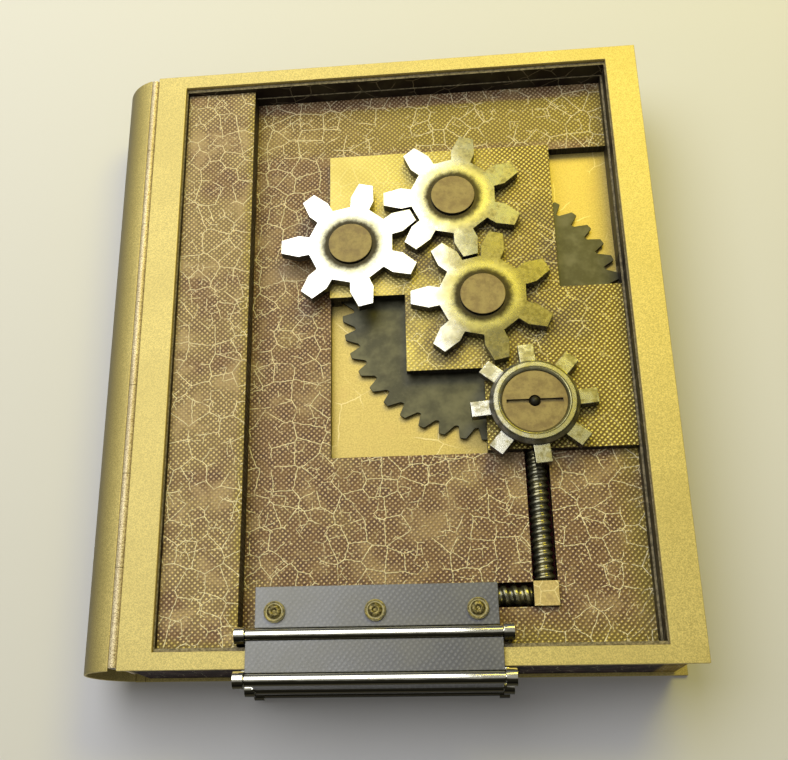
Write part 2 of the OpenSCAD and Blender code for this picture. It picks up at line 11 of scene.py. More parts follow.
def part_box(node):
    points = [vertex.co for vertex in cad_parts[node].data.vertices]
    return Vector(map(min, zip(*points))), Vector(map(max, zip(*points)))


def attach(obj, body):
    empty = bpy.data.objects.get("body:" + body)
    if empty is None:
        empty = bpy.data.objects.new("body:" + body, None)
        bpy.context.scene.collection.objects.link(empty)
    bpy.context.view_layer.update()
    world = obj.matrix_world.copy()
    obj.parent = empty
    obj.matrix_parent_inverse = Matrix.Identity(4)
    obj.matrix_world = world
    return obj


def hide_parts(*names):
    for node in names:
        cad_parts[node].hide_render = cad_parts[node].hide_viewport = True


MM = 0.001
TO_MM = 1000
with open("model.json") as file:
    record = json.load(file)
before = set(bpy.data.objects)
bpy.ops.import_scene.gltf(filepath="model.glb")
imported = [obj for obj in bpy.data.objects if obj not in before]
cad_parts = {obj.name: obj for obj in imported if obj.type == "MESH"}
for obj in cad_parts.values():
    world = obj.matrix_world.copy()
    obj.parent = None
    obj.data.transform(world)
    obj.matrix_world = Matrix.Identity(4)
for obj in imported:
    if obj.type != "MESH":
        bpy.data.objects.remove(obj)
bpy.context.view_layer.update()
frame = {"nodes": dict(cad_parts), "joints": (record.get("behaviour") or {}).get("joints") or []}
nodes = frame["nodes"]
joints = {j["name"]: j for j in frame["joints"]}


def box_mm(node):
    """Low and high corner of a CAD node's box, in millimetres."""
    low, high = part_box(node)
    return low * TO_MM, high * TO_MM


def middle_mm(node):
    """Middle of a CAD node's box, in millimetres."""
    low, high = box_mm(node)
    return (low + high) / 2


# ---- Camera, floor and light ----

SENSOR_MM = 36
LENS_MM = 47.53
CAMERA_SHIFT = (0.0685, 0.0254)
# Camera axes, and the camera's place from the cover's corner at the spine and the clasp edge
CAMERA_RIGHT = Vector((0.9942, -0.0008, -0.1074))
CAMERA_BACK = Vector((0.100, -0.3572, 0.9287))
CAMERA_FROM_CORNER_MM = Vector((113.84, -40.01, 349.9))


def make_camera():
    """Camera over the clasp edge, looking down on the cover and slightly from the right."""
    cover_low, cover_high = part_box("cover_frame")
    data = bpy.data.cameras.new("camera")
    data.sensor_width = SENSOR_MM
    data.lens = LENS_MM
    data.shift_x, data.shift_y = CAMERA_SHIFT
    data.clip_start = 0.01
    data.clip_end = 20
    camera = bpy.data.objects.new("camera", data)
    bpy.context.scene.collection.objects.link(camera)
    right = CAMERA_RIGHT.normalized()
    back = CAMERA_BACK.normalized()
    up = back.cross(right).normalized()
    right = up.cross(back)
    corner = Vector((cover_low.x, cover_low.y, cover_high.z))
    place = Matrix((right, up, back)).transposed().to_4x4()
    place.translation = corner + CAMERA_FROM_CORNER_MM * MM
    camera.matrix_world = place
    bpy.context.scene.camera = camera


def area_light(name, place, target, size, power, color):
    """Soft rectangular light that faces a target point."""
    data = bpy.data.lights.new(name, "AREA")
    data.shape = "RECTANGLE"
    data.size, data.size_y = size
    data.energy = power
    data.color = color
    lamp = bpy.data.objects.new(name, data)
    lamp.location = place
    lamp.rotation_euler = (Vector(target) - Vector(place)).to_track_quat("-Z", "Y").to_euler()
    bpy.context.scene.collection.objects.link(lamp)


def make_light():
    """White softbox over the spine side, a golden card over the head, and a dim room."""
    area_light("softbox", place=(-0.47, 0.56, 0.92), target=(-0.47, 0.56, 0), size=(1.0, 1.3),
               power=10.5, color=(1.0, 1.0, 1.0))
    area_light("gold_card", place=(0.40, 0.74, 0.85), target=(0.36, 0.60, 0), size=(0.56, 0.66),
               power=7.2, color=(1.0, 0.86, 0.07))
    world = bpy.data.worlds.new("studio")
    world.use_nodes = True
    tree = world.node_tree
    ramp = tree.nodes.new("ShaderNodeValToRGB")
    split = tree.nodes.new("ShaderNodeSeparateXYZ")
    coords = tree.nodes.new("ShaderNodeTexCoord")
    tree.links.new(coords.outputs["Generated"], split.inputs[0])
    tree.links.new(split.outputs["Z"], ramp.inputs[0])
    stops = ((0.15, (0.07, 0.07, 0.08, 1)), (0.9, (0.33, 0.32, 0.29, 1)))
    for element, (position, color) in zip(ramp.color_ramp.elements, stops):
        element.position = position
        element.color = color
    tree.links.new(ramp.outputs[0], tree.nodes["Background"].inputs["Color"])
    tree.nodes["Background"].inputs["Strength"].default_value = 1.0
    bpy.context.scene.world = world
    bpy.context.scene.view_settings.view_transform = "Standard"


def make_floor():
    """Plain pale floor, a hair below the base so that the two faces don't flicker."""
    bpy.ops.mesh.primitive_plane_add(size=6, location=(0, 0, -0.2 * MM))
    floor = bpy.context.object
    floor.name = "floor"
    floor.data.materials.append(Material("floor_paint").flat((0.70, 0.70, 0.71), 0.8))


# ---- Node material helper ----

class Material:
    """Small wrapper that chains shader nodes. Lengths in texture space are millimetres."""

    def __init__(self, name):
        self.material = bpy.data.materials.new(name)
        self.material.use_nodes = True
        self.tree = self.material.node_tree
        self.shader = self.tree.nodes["Principled BSDF"]
        self._coords = None
        self._mm = None

    def flat(self, color, roughness, metallic=0.0):
        """One plain colour all over."""
        self.shader.inputs["Base Color"].default_value = (*color, 1)
        self.shader.inputs["Roughness"].default_value = roughness
        self.shader.inputs["Metallic"].default_value = metallic
        return self.material

    def node(self, kind, inputs=None, **settings):
        """Adds a shader node, sets its properties and fills its inputs."""
        made = self.tree.nodes.new("ShaderNode" + kind)
        for key, value in settings.items():
            setattr(made, key, value)
        for key, value in (inputs or {}).items():
            self.put(made.inputs[key], value)
        return made

    def put(self, socket, value):
        """Links a socket, or sets its value; colours get an alpha."""
        if isinstance(value, bpy.types.NodeSocket):
            self.tree.links.new(value, socket)
        elif isinstance(value, tuple) and socket.type == "RGBA" and len(value) == 3:
            socket.default_value = (*value, 1)
        else:
            socket.default_value = value

    def coords(self):
        """The material's one texture coordinate node."""
        if self._coords is None:
            self._coords = self.node("TexCoord")
        return self._coords

    def mm(self):
        """The object's own coordinates in millimetres."""
        if self._mm is None:
            self._mm = self.vector("MULTIPLY", self.coords().outputs["Object"], (TO_MM, TO_MM, TO_MM))
        return self._mm

    def vector(self, operation, a, b):
        """Result of a vector operation."""
        return self.node("VectorMath", {0: a, 1: b}, operation=operation).outputs[0]

    def away_from(self, at, centre):
        """Offset from a centre line that is parallel to Z."""
        return self.vector("MULTIPLY", self.vector("SUBTRACT", at, (centre[0], centre[1], 0)), (1, 1, 0))

    def length(self, offset):
        """Length of an offset."""
        return self.node("VectorMath", {0: offset}, operation="LENGTH").outputs["Value"]

    def facing(self, axis):
        """One component of the surface's normal, from -1 to 1."""
        return self.node("SeparateXYZ", {0: self.coords().outputs["Normal"]}).outputs[axis]

    def axis(self, name, at=None):
        """One coordinate in millimetres."""
        return self.node("SeparateXYZ", {0: self.mm() if at is None else at}).outputs[name]

    def math(self, operation, a, b=0.0, clamp=False):
        """Result of a number operation."""
        return self.node("Math", {0: a, 1: b}, operation=operation, use_clamp=clamp).outputs[0]

    def noise(self, size, detail=2.0, roughness=0.5, at=None, seed=0.0):
        """Noise from 0 to 1 whose blobs are about size millimetres."""
        moved = self.vector("ADD", self.mm() if at is None else at, (seed * 17.0, seed * 5.3, seed * 3.1))
        return self.node("TexNoise", {"Vector": moved, "Scale": 1 / size, "Detail": detail,
                                      "Roughness": roughness}).outputs["Fac"]

    def warped(self, amount, size, seed=0.0, detail=2.0, at=None):
        """Coordinates pushed about by noise."""
        start = self.mm() if at is None else at
        where = self.vector("ADD", start, (seed, seed * 2, seed * 3))
        push = self.node("TexNoise", {"Vector": where, "Scale": 1 / size, "Detail": detail})
        centred = self.vector("SUBTRACT", push.outputs["Color"], (0.5, 0.5, 0.5))
        return self.vector("ADD", start, self.vector("MULTIPLY", centred, (amount, amount, amount)))

    def ramp(self, value, low, high, low_out=0.0, high_out=1.0):
        """Smooth step of a value between two limits."""
        return self.node("MapRange", {"Value": value, "From Min": low, "From Max": high,
                                      "To Min": low_out, "To Max": high_out},
                         interpolation_type="SMOOTHSTEP").outputs["Result"]

    def mix(self, share, first, second):
        """Blend of two colours."""
        made = self.node("Mix", data_type="RGBA")
        color_a, color_b, color_out = 6, 7, 2
        self.put(made.inputs["Factor"], share)
        self.put(made.inputs[color_a], first)
        self.put(made.inputs[color_b], second)
        return made.outputs[color_out]

    def tops(self):
        """Mask of the faces that point up or down, 0 on upright walls; the materials use it to paint shade on
        the walls.
        """
        return self.ramp(self.math("ABSOLUTE", self.facing("Z")), 0.35, 0.75)

    def unrolled(self):
        """Coordinates laid out flat along upright walls."""
        split = self.node("SeparateXYZ", {0: self.mm()}).outputs
        along = self.math("ADD", split["X"], split["Y"])
        return self.node("CombineXYZ", {"X": along, "Y": split["Z"]}).outputs[0]

    def cracks(self, cell, half_width, seed, breakup, at=None):
        """Crackle lines: 1 on a line, 0 off it. Breakup hides part of the lines."""
        where = self.warped(cell * 0.14, cell * 0.34, seed, at=at)
        edges = self.node("TexVoronoi", {"Vector": where, "Scale": 1 / cell, "Randomness": 1.0},
                          voronoi_dimensions="2D", feature="DISTANCE_TO_EDGE").outputs["Distance"]
        line = self.ramp(self.math("MULTIPLY", edges, cell), half_width, half_width * 0.35)
        shown = self.ramp(self.noise(cell * 1.3, 2.0, seed=seed + 3), breakup, breakup + 0.08)
        return self.math("MULTIPLY", line, shown)

    def crackle(self, seed, share=0.45, at=None, width=1.0):
        """Large crackle cells with finer ones inside some of them."""
        return self.math("MAXIMUM", self.cracks(7.8, 0.21 * width, seed, share - 0.05, at),
                         self.cracks(4.7, 0.16 * width, seed + 14, share + 0.07, at))

    def lattice(self, ridge, pitch=1.42, angle=42, at=None):
        """Field of raised dots, 0 to 1, on a square grid turned by an angle. Ridge joins them in rows."""
        where = self.warped(0.8, 7, 4, at=at)
        turned = self.node("VectorRotate", {"Vector": where, "Angle": math.radians(angle)},
                           rotation_type="Z_AXIS").outputs[0]
        waves = []
        for axis in ("X", "Y"):
            turns = self.math("MULTIPLY", self.axis(axis, turned), 2 * math.pi / pitch)
            waves.append(self.ramp(self.math("COSINE", turns), -1.0, 1.0))
        across = self.math("MULTIPLY_ADD", waves[1], 1 - ridge)
        across.node.inputs[2].default_value = ridge
        return self.math("MULTIPLY", waves[0], across)

    def bump(self, height, depth, strength=1.0, onto=None):
        """Adds a bump of a depth in millimetres to the shader's normal."""
        made = self.node("Bump", {"Height": height, "Distance": depth * MM, "Strength": strength})
        if onto is not None:
            self.put(made.inputs["Normal"], onto)
        return made.outputs["Normal"]

    def finish(self, color, roughness, metallic, normal=None):
        """Fills the shader and gives the finished material."""
        self.put(self.shader.inputs["Base Color"], color)
        self.put(self.shader.inputs["Roughness"], roughness)
        self.put(self.shader.inputs["Metallic"], metallic)
        if normal is not None:
            self.put(self.shader.inputs["Normal"], normal)
        return self.material


# ---- Materials ----

CREAM = (0.90, 0.80, 0.52)
# Near-black painted shade for upright walls.
PAINTED_WALL_SHADE = (0.014, 0.011, 0.010)


def brass_sheet(name="brass_sheet", low=(0.45, 0.367, 0.122), high=(0.74, 0.620, 0.235), minus_x_shade=0.0):
    """Fine speckled sheet brass, a little cloudy. Its last argument is how dark its faces towards -X are
    painted, as shade.
    """
    m = Material(name)
    grain = m.math("ADD", m.math("MULTIPLY", m.noise(0.38, 2.0, 0.6), 0.75),
                   m.math("MULTIPLY", m.noise(0.8, 2.0, 0.6, seed=5), 0.25))
    cloud = m.noise(38, 3.0, seed=1)
    color = m.mix(m.ramp(grain, 0.36, 0.64), low, high)
    color = m.mix(m.ramp(cloud, 0.38, 0.66, 0.0, 0.28), color, low)
    # Painted shade: faces towards -X darkened.
    if minus_x_shade:
        color = m.mix(m.ramp(m.facing("X"), -0.35, -0.95, 0.0, minus_x_shade), color, (0.06, 0.045, 0.018))
    rough = m.ramp(grain, 0.3, 0.7, 0.44, 0.58)
    return m.finish(color, rough, 0.45, m.bump(grain, 0.03, 0.4))


def leather(name, gild, edge_gild, seed=7):
    """Embossed leather with dotted gilding and cream crackle, its upright walls painted black as shade.

    Gild is its share of gold, 0 to 1. Edge_gild makes the mask of the fully gilt parts."""
    m = Material(name)
    dots = m.lattice(0.16)
    patches = m.noise(22, 3.0, 0.6, seed=seed)
    fine = m.noise(3.2, 4.0, 0.65, seed=2)
    worn = m.ramp(patches, 0.66 - gild * 0.3, 0.86 - gild * 0.3)
    base = m.mix(m.ramp(fine, 0.35, 0.65), (0.115, 0.058, 0.030), (0.205, 0.118, 0.055))
    base = m.mix(worn, base, (0.250, 0.175, 0.080))
    crest = m.mix(worn, (0.66, 0.50, 0.30), (0.80, 0.64, 0.31))
    crest = m.mix(m.ramp(fine, 0.35, 0.75, 0.0, 0.5), crest, base)
    color = m.mix(m.ramp(dots, 0.22, 0.70), base, crest)
    rubbed = m.math("MULTIPLY", m.ramp(m.noise(15, 3.0, 0.6, seed=seed + 5), 0.48, 0.66), 0.3 + gild * 0.4)
    color = m.mix(rubbed, color, (0.50, 0.37, 0.185))
    gold = m.mix(m.ramp(dots, 0.15, 0.75), (0.22, 0.160, 0.035), (0.70, 0.570, 0.165))
    color = m.mix(edge_gild(m), color, gold)
    lines = m.crackle(seed)
    color = m.mix(lines, color, CREAM)
    # Painted shade: upright walls near-black.
    color = m.mix(m.tops(), PAINTED_WALL_SHADE, color)
    metal = m.ramp(dots, 0.3, 0.9, 0.05, 0.45)
    m.shader.inputs["Specular IOR Level"].default_value = 0.3
    normal = m.bump(dots, 0.30, 0.9)
    normal = m.bump(lines, 0.15, 0.6, normal)
    return m.finish(color, m.ramp(fine, 0.3, 0.7, 0.36, 0.52), metal, normal)


def near_edges(node, reach, sides, head_band=None):
    """Makes a mask that is 1 at some edges of a flat node and fades inwards, broken by noise.

    Sides are from spine, fore, foot and head, and reach is in millimetres. Head_band is the near and far
    distance of a fully gilt band from the head edge. Nearer the head edge than that, the gilding is left
    off, so the dark leather stands as painted shadow of the frame's wall."""
    low, high = box_mm(node)

    def mask(m):
        at = m.warped(5, 10, 9)
        distances = {"spine": m.math("SUBTRACT", m.axis("X", at), low.x),
                     "fore": m.math("SUBTRACT", high.x, m.axis("X", at)),
                     "foot": m.math("SUBTRACT", m.axis("Y", at), low.y),
                     "head": m.math("SUBTRACT", high.y, m.axis("Y", at))}
        whole = m.ramp(distances[sides[0]], reach, 0)
        for side in sides[1:]:
            whole = m.math("MAXIMUM", whole, m.ramp(distances[side], reach, 0))
        whole = m.math("MULTIPLY", whole, m.ramp(m.noise(12, 2.0, seed=5), 0.25, 0.55, 0.35, 0.95))
        if head_band:
            near, far = head_band
            distance = m.math("SUBTRACT", high.y, m.axis("Y", m.warped(2.5, 7, 2)))
            band = m.math("MULTIPLY", m.ramp(distance, near, near + 1.5), m.ramp(distance, far + 6, far))
            fore = m.ramp(m.axis("X"), low.x + 5, high.x - 60, 0.35, 0.95)
            # Painted shadow: no gilding within the near distance of the head edge.
            whole = m.math("MAXIMUM", m.math("MULTIPLY", whole, m.ramp(distance, 1, near)),
                           m.math("MULTIPLY", band, fore))
        return whole
    return mask


def gilded_plate():
    """Gilded plate: smooth near the spine side, ridged towards the fore edge, darker and browner round gear
    C, its upright walls painted black as shade.
    """
    m = Material("gilded_plate")
    low, high = box_mm("mechanism_plate")
    ridges = m.lattice(0.12)
    depth = m.ramp(m.axis("X", m.warped(16, 20, 3)), low.x, high.x - 35, 0.22, 1.0)
    patches = m.noise(17, 3.0, 0.6, seed=6)
    hub = middle_mm("axle_cap_c")
    radius = m.length(m.away_from(m.warped(14, 14, 8), (hub.x, hub.y + 8)))
    # Darker, browner zone round gear C's hub, broken by noise.
    dark_round_hub = m.math("MULTIPLY", m.ramp(radius, 52, 26), m.ramp(patches, 0.40, 0.60, 0.25, 1.0))
    gold = m.mix(depth, (0.52, 0.42, 0.140), (0.95, 0.82, 0.24))
    gold = m.mix(m.math("MULTIPLY", m.ramp(ridges, 0.50, 0.10), depth), gold, (0.15, 0.10, 0.020))
    brown = m.mix(m.ramp(ridges, 0.2, 0.7), (0.075, 0.048, 0.034), (0.44, 0.34, 0.135))
    color = m.mix(m.math("MULTIPLY", dark_round_hub, 0.85), gold, brown)
    lines = m.math("MULTIPLY", m.crackle(11, 0.50), m.ramp(dark_round_hub, 0.05, 0.4, 0.35, 1.0))
    color = m.mix(m.math("MULTIPLY", lines, 0.9), color, (0.88, 0.78, 0.45))
    # Painted shade: upright walls near-black.
    color = m.mix(m.tops(), PAINTED_WALL_SHADE, color)
    normal = m.bump(m.math("MULTIPLY", ridges, depth), 0.30, 0.9)
    normal = m.bump(lines, 0.12, 0.5, normal)
    return m.finish(color, m.ramp(patches, 0.3, 0.7, 0.36, 0.50), m.ramp(dark_round_hub, 0.1, 0.6, 0.6, 0.35), normal)


def block_brass():
    """Plain gilding of the corner block, with faint crackle and its upright walls painted near-black as
    shade.
    """
    m = Material("block_brass")
    grain = m.noise(0.8, 3.0, 0.7)
    cloud = m.noise(4, 3.0, seed=3)
    color = m.mix(m.ramp(grain, 0.3, 0.7), (0.45, 0.34, 0.125), (0.66, 0.52, 0.22))
    color = m.mix(m.ramp(cloud, 0.5, 0.7, 0.0, 0.5), color, (0.40, 0.29, 0.13))
    color = m.mix(m.math("MULTIPLY", m.cracks(5, 0.2, 5, 0.35), 0.8), color, (0.80, 0.70, 0.38))
    # Painted shade: upright walls near-black.
    color = m.mix(m.tops(), (0.05, 0.04, 0.02), color)
    return m.finish(color, 0.48, 0.45, m.bump(grain, 0.05, 0.5))


def floor_brass():
    """Bright speckled brass of the well's floor."""
    m = Material("floor_brass")
    grain = m.noise(0.6, 3.0, 0.65)
    cloud = m.noise(16, 3.0, 0.6, seed=8)
    streak = m.noise(1.6, 2.0, at=m.vector("MULTIPLY", m.mm(), (1.0, 0.12, 1.0)), seed=2)
    color = m.mix(m.ramp(grain, 0.33, 0.67), (0.42, 0.32, 0.092), (0.58, 0.465, 0.150))
    color = m.mix(m.ramp(cloud, 0.5, 0.75, 0.0, 0.4), color, (0.50, 0.36, 0.12))
    color = m.mix(m.ramp(streak, 0.55, 0.8, 0.0, 0.2), color, (0.45, 0.33, 0.10))
    color = m.mix(m.math("MULTIPLY", m.cracks(13, 0.22, 13, 0.5), 0.45), color, (0.93, 0.84, 0.5))
    return m.finish(color, m.ramp(grain, 0.3, 0.7, 0.38, 0.52), 0.55, m.bump(grain, 0.04, 0.5))


def moulding():
    """Dark moulding: its walls are painted near-black as shade and its two up-facing ledges a dull olive gold
    as painted highlight.
    """
    m = Material("moulding")
    patches = m.noise(14, 3.0, 0.6, seed=3)
    fine = m.noise(1.2, 3.0, 0.65, seed=1)
    wall = m.mix(m.ramp(patches, 0.40, 0.65), (0.012, 0.007, 0.007), (0.040, 0.034, 0.021))
    lines = m.cracks(9, 0.25, 17, 0.45, m.unrolled())
    wall = m.mix(m.math("MULTIPLY", lines, 0.55), wall, (0.30, 0.26, 0.18))
    lit_ledge = m.mix(m.ramp(fine, 0.35, 0.65), (0.12, 0.10, 0.055), (0.32, 0.27, 0.155))
    # Painted light: up-facing ledges lit, upright walls in shade.
    color = m.mix(m.tops(), wall, lit_ledge)
    m.shader.inputs["Specular IOR Level"].default_value = 0.25
    return m.finish(color, 0.5, 0.15, m.bump(fine, 0.10, 0.5))


def gear_metal(name, centre, fore_shade_color, reach, shade, edge_shade, blot=7.0, grooves=()):
    """Polished nickel with stains, a yellow ring and a dark halo round the cap, and side walls painted black
    as shade.

    The metal is painted darker towards the fore edge as shade: it turns to the given fore-side colour across
    reach, two distances from the centre towards the fore edge. Shade is the share of the stains at the spine
    side, edge_shade at the fore side, and blot the stains' size; the stains' growth towards the fore side is
    painted shade as well as real stains.
    Grooves are the radii of thin dark rings."""
    m = Material(name)
    away = m.away_from(m.mm(), centre)
    radius = m.length(away)
    ragged = m.math("ADD", radius, m.math("MULTIPLY", m.noise(2.2, 3.0, 0.7), 2.2))
    blotch = m.noise(blot, 4.0, 0.62, seed=shade * 9 + 1)
    fine = m.noise(1.6, 4.0, 0.7, seed=4)
    drift = m.math("MULTIPLY", m.noise(6, 3.0, 0.6, seed=7), 14)
    across = m.math("ADD", m.axis("X", away), drift)
    stain_and_fore_shade = m.ramp(across, -12, 22, shade, edge_shade)
    # Painted shade: the polished metal darkens towards the fore side to the fore-side colour.
    color = m.mix(m.ramp(across, *reach), (0.88, 0.875, 0.83), fore_shade_color)
    # Olive stains and rusty speckles; their share grows towards the fore side as painted shade.
    stain_and_shade_mask = m.math("MULTIPLY", m.ramp(blotch, 0.42, 0.60, 0.15, 1.0), stain_and_fore_shade, clamp=True)
    olive = m.mix(m.ramp(fine, 0.4, 0.6), (0.100, 0.084, 0.016), (0.24, 0.21, 0.085))
    color = m.mix(stain_and_shade_mask, color, olive)
    rust_and_shade = m.math("MULTIPLY", m.ramp(fine, 0.56, 0.70), stain_and_fore_shade, clamp=True)
    color = m.mix(m.math("MULTIPLY", rust_and_shade, 0.6), color, (0.16, 0.145, 0.10))
    color = m.mix(m.ramp(ragged, 17.5, 13.0, 0.0, 0.6), color, (0.46, 0.425, 0.165))
    color = m.mix(m.ramp(ragged, 14.0, 10.8), color, (0.030, 0.025, 0.012))
    for groove in grooves:
        offset = m.math("ABSOLUTE", m.math("SUBTRACT", radius, groove))
        color = m.mix(m.ramp(offset, 0.35, 0.1, 0.0, 0.85), color, (0.030, 0.027, 0.012))
    # Painted shade: upright side walls near-black and less metallic.
    color = m.mix(m.tops(), PAINTED_WALL_SHADE, color)
    rough = m.ramp(blotch, 0.4, 0.7, 0.22, 0.36)
    metal = m.ramp(m.tops(), 0, 1, 0.2, 0.9)
    return m.finish(color, rough, metal, m.bump(fine, 0.03, 0.5))


def aged_brass():
    """Dull mottled brass of the caps and the dial's disc, its upright walls painted near-black as shade."""
    m = Material("aged_brass")
    patches = m.noise(5.0, 4.0, 0.65, seed=7)
    fine = m.noise(0.9, 3.0, 0.7, seed=2)
    color = m.mix(m.ramp(patches, 0.34, 0.66), (0.185, 0.135, 0.055), (0.33, 0.262, 0.105))
    color = m.mix(m.ramp(fine, 0.5, 0.75, 0.0, 0.55), color, (0.16, 0.10, 0.055))
    # Painted shade: upright walls near-black.
    color = m.mix(m.tops(), (0.035, 0.028, 0.016), color)
    return m.finish(color, m.ramp(patches, 0.3, 0.7, 0.48, 0.62), 0.45, m.bump(fine, 0.05, 0.5))


def gunmetal(name="gunmetal", tone=1.0):
    """Dark oiled steel with an olive tint, its upright walls painted black as shade. Tone darkens it."""
    m = Material(name)
    patches = m.noise(9, 3.0, 0.6)
    fine = m.noise(0.9, 3.0, 0.7, seed=3)
    dark = tuple(c * tone for c in (0.052, 0.050, 0.030))
    light = tuple(c * tone for c in (0.135, 0.130, 0.080))
    color = m.mix(m.ramp(patches, 0.35, 0.7), dark, light)
    color = m.mix(m.ramp(fine, 0.55, 0.75, 0.0, 0.35), color, light)
    # Painted shade: upright walls near-black.
    color = m.mix(m.tops(), PAINTED_WALL_SHADE, color)
    return m.finish(color, m.ramp(patches, 0.3, 0.7, 0.42, 0.55), 0.6, m.bump(fine, 0.03, 0.5))


def thread_steel():
    """Oiled steel of the screw threads, glossy on the crests."""
    m = Material("thread_steel")
    fine = m.noise(0.8, 3.0, 0.7, seed=3)
    patches = m.noise(6, 3.0, 0.6, seed=5)
    color = m.mix(m.ramp(patches, 0.4, 0.65), (0.19, 0.185, 0.135), (0.33, 0.305, 0.175))
    return m.finish(color, m.ramp(fine, 0.3, 0.7, 0.20, 0.34), 0.9, m.bump(fine, 0.02, 0.5))


def pewter():
    """Blue-grey embossed steel of the clasp's plates, painted paler towards the spine as a highlight."""
    m = Material("pewter")
    emboss = m.lattice(0.3, pitch=1.5, angle=38)
    cloud = m.noise(14, 3.0, seed=6)
    fine = m.noise(0.5, 3.0, 0.7, seed=1)
    color = m.mix(m.ramp(cloud, 0.35, 0.7), (0.112, 0.115, 0.127), (0.150, 0.152, 0.161))
    # Painted highlight: paler towards the spine.
    color = m.mix(m.ramp(m.axis("X"), 30, -60, 0.0, 0.6), color, (0.30, 0.305, 0.32))
    color = m.mix(m.ramp(emboss, 0.25, 0.75, 0.0, 0.3), color, (0.30, 0.30, 0.31))
    color = m.mix(m.ramp(fine, 0.5, 0.75, 0.0, 0.25), color, (0.09, 0.09, 0.093))
    return m.finish(color, m.ramp(cloud, 0.3, 0.7, 0.42, 0.52), 0.6, m.bump(emboss, 0.05, 0.4))


def chrome():
    """Polished rods, bright on top and painted near-black on the outer side as shade, with a few worn spots.
    """
    m = Material("chrome_rod")
    wear = m.noise(3, 4.0, 0.7)
    drift = m.math("MULTIPLY", m.noise(5, 3.0, 0.6, seed=2), 0.25)
    shade_facing = m.math("ADD", m.facing("Y"), drift)
    color = m.mix(m.ramp(wear, 0.60, 0.72, 0.0, 0.5), (0.86, 0.85, 0.74), (0.50, 0.46, 0.30))
    # Painted shade: faces towards -Y go near-black.
    color = m.mix(m.ramp(shade_facing, 0.0, -0.22), color, (0.050, 0.046, 0.030))
    return m.finish(color, m.ramp(wear, 0.5, 0.75, 0.08, 0.20), 1.0)


def felt():
    """Dark red felt with a short pile."""
    m = Material("felt")
    fibres = m.noise(0.5, 4.0, 0.8)
    color = m.mix(fibres, (0.10, 0.012, 0.022), (0.22, 0.035, 0.05))
    m.shader.inputs["Sheen Weight"].default_value = 0.5
    return m.finish(color, 0.95, 0.0, m.bump(fibres, 0.2, 0.8))


def page_leather():
    """Dark crackled leather of the walls, painted darker as shade to near-black, gilded at the fore edge."""
    m = Material("page_leather")
    fore = box_mm("fore_board")[0].x
    flat = m.unrolled()
    dots = m.lattice(0.16, at=flat)
    patches = m.noise(9, 3.0, 0.6, seed=4)
    # Painted shade: the walls' leather is darkened to near-black.
    color = m.mix(m.ramp(patches, 0.4, 0.65), (0.016, 0.009, 0.011), (0.050, 0.027, 0.029))
    color = m.mix(m.ramp(dots, 0.5, 0.9, 0.0, 0.35), color, (0.085, 0.060, 0.050))
    gilt = m.math("MULTIPLY", m.ramp(m.axis("X"), fore - 5, fore - 3), m.ramp(patches, 0.3, 0.5, 0.3, 0.9))
    color = m.mix(gilt, color, m.mix(m.ramp(dots, 0.2, 0.8), (0.20, 0.13, 0.02), (0.62, 0.44, 0.09)))
    lines = m.math("MULTIPLY", m.crackle(9, at=flat, width=0.7), 0.75)
    color = m.mix(lines, color, (0.52, 0.45, 0.34))
    m.shader.inputs["Specular IOR Level"].default_value = 0.15
    return m.finish(color, 0.65, 0.0, m.bump(dots, 0.2, 0.8))


def screw_brass():
    """Stained brass of the clasp screws: a pale flange and a dark, mottled dome."""
    m = Material("screw_brass")
    low, high = box_mm("clasp_screws")
    patches = m.noise(0.9, 3.0, 0.7, seed=3)
    dome = m.mix(m.ramp(patches, 0.38, 0.62), (0.055, 0.045, 0.014), (0.34, 0.28, 0.095))
    height = high.z - low.z
    flange = m.ramp(m.axis("Z"), low.z + 0.66 * height, low.z + 0.55 * height)
    return m.finish(m.mix(flange, dome, (0.52, 0.48, 0.30)), 0.42, 0.6)


# ---- Turned and threaded pieces ----

def turned(profile, steps):
    """Rings of points from a profile of [radius, height]; the two ends are closed with fans."""
    made = bmesh.new()
    rings = []
    for radius, height in profile:
        ring = []
        for i in range(steps):
            angle = 2 * math.pi * i / steps
            ring.append(made.verts.new((radius * math.cos(angle), radius * math.sin(angle), height)))
        rings.append(ring)
    for low, high in zip(rings, rings[1:]):
        for i in range(steps):
            after = (i + 1) % steps
            made.faces.new((low[i], low[after], high[after], high[i]))
    for ring, height, turn in ((rings[0], profile[0][1], -1), (rings[-1], profile[-1][1], 1)):
        tip = made.verts.new((0, 0, height))
        for i in range(steps):
            made.faces.new((ring[i], ring[(i + 1) % steps], tip)[::turn])
    return made


def finish_piece(made, name, material, body, slot, *replaced):
    """Turns a bmesh in millimetres into a smooth piece that rides on a body and may replace CAD nodes."""
    bmesh.ops.recalc_face_normals(made, faces=made.faces)
    bmesh.ops.scale(made, vec=(MM, MM, MM), verts=made.verts)
    mesh = bpy.data.meshes.new(name)
    made.to_mesh(mesh)
    made.free()
    mesh.shade_smooth()
    mesh.materials.append(material)
    piece = bpy.data.objects.new(name, mesh)
    bpy.context.scene.collection.objects.link(piece)
    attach(piece, body)
    if replaced:
        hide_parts(*replaced)
    return piece


def thread_radius(turns, core, crest):
    """Radius at a number of turns along the helix: a broad rib with a flattened top, then a narrow groove."""
    rib_share, flattening = 0.84, 1.5
    share = turns % 1.0
    rise = 0.5 - 0.5 * math.cos(2 * math.pi * share / rib_share) if share < rib_share else 0.0
    return core + (crest - core) * min(1.0, flattening * rise)


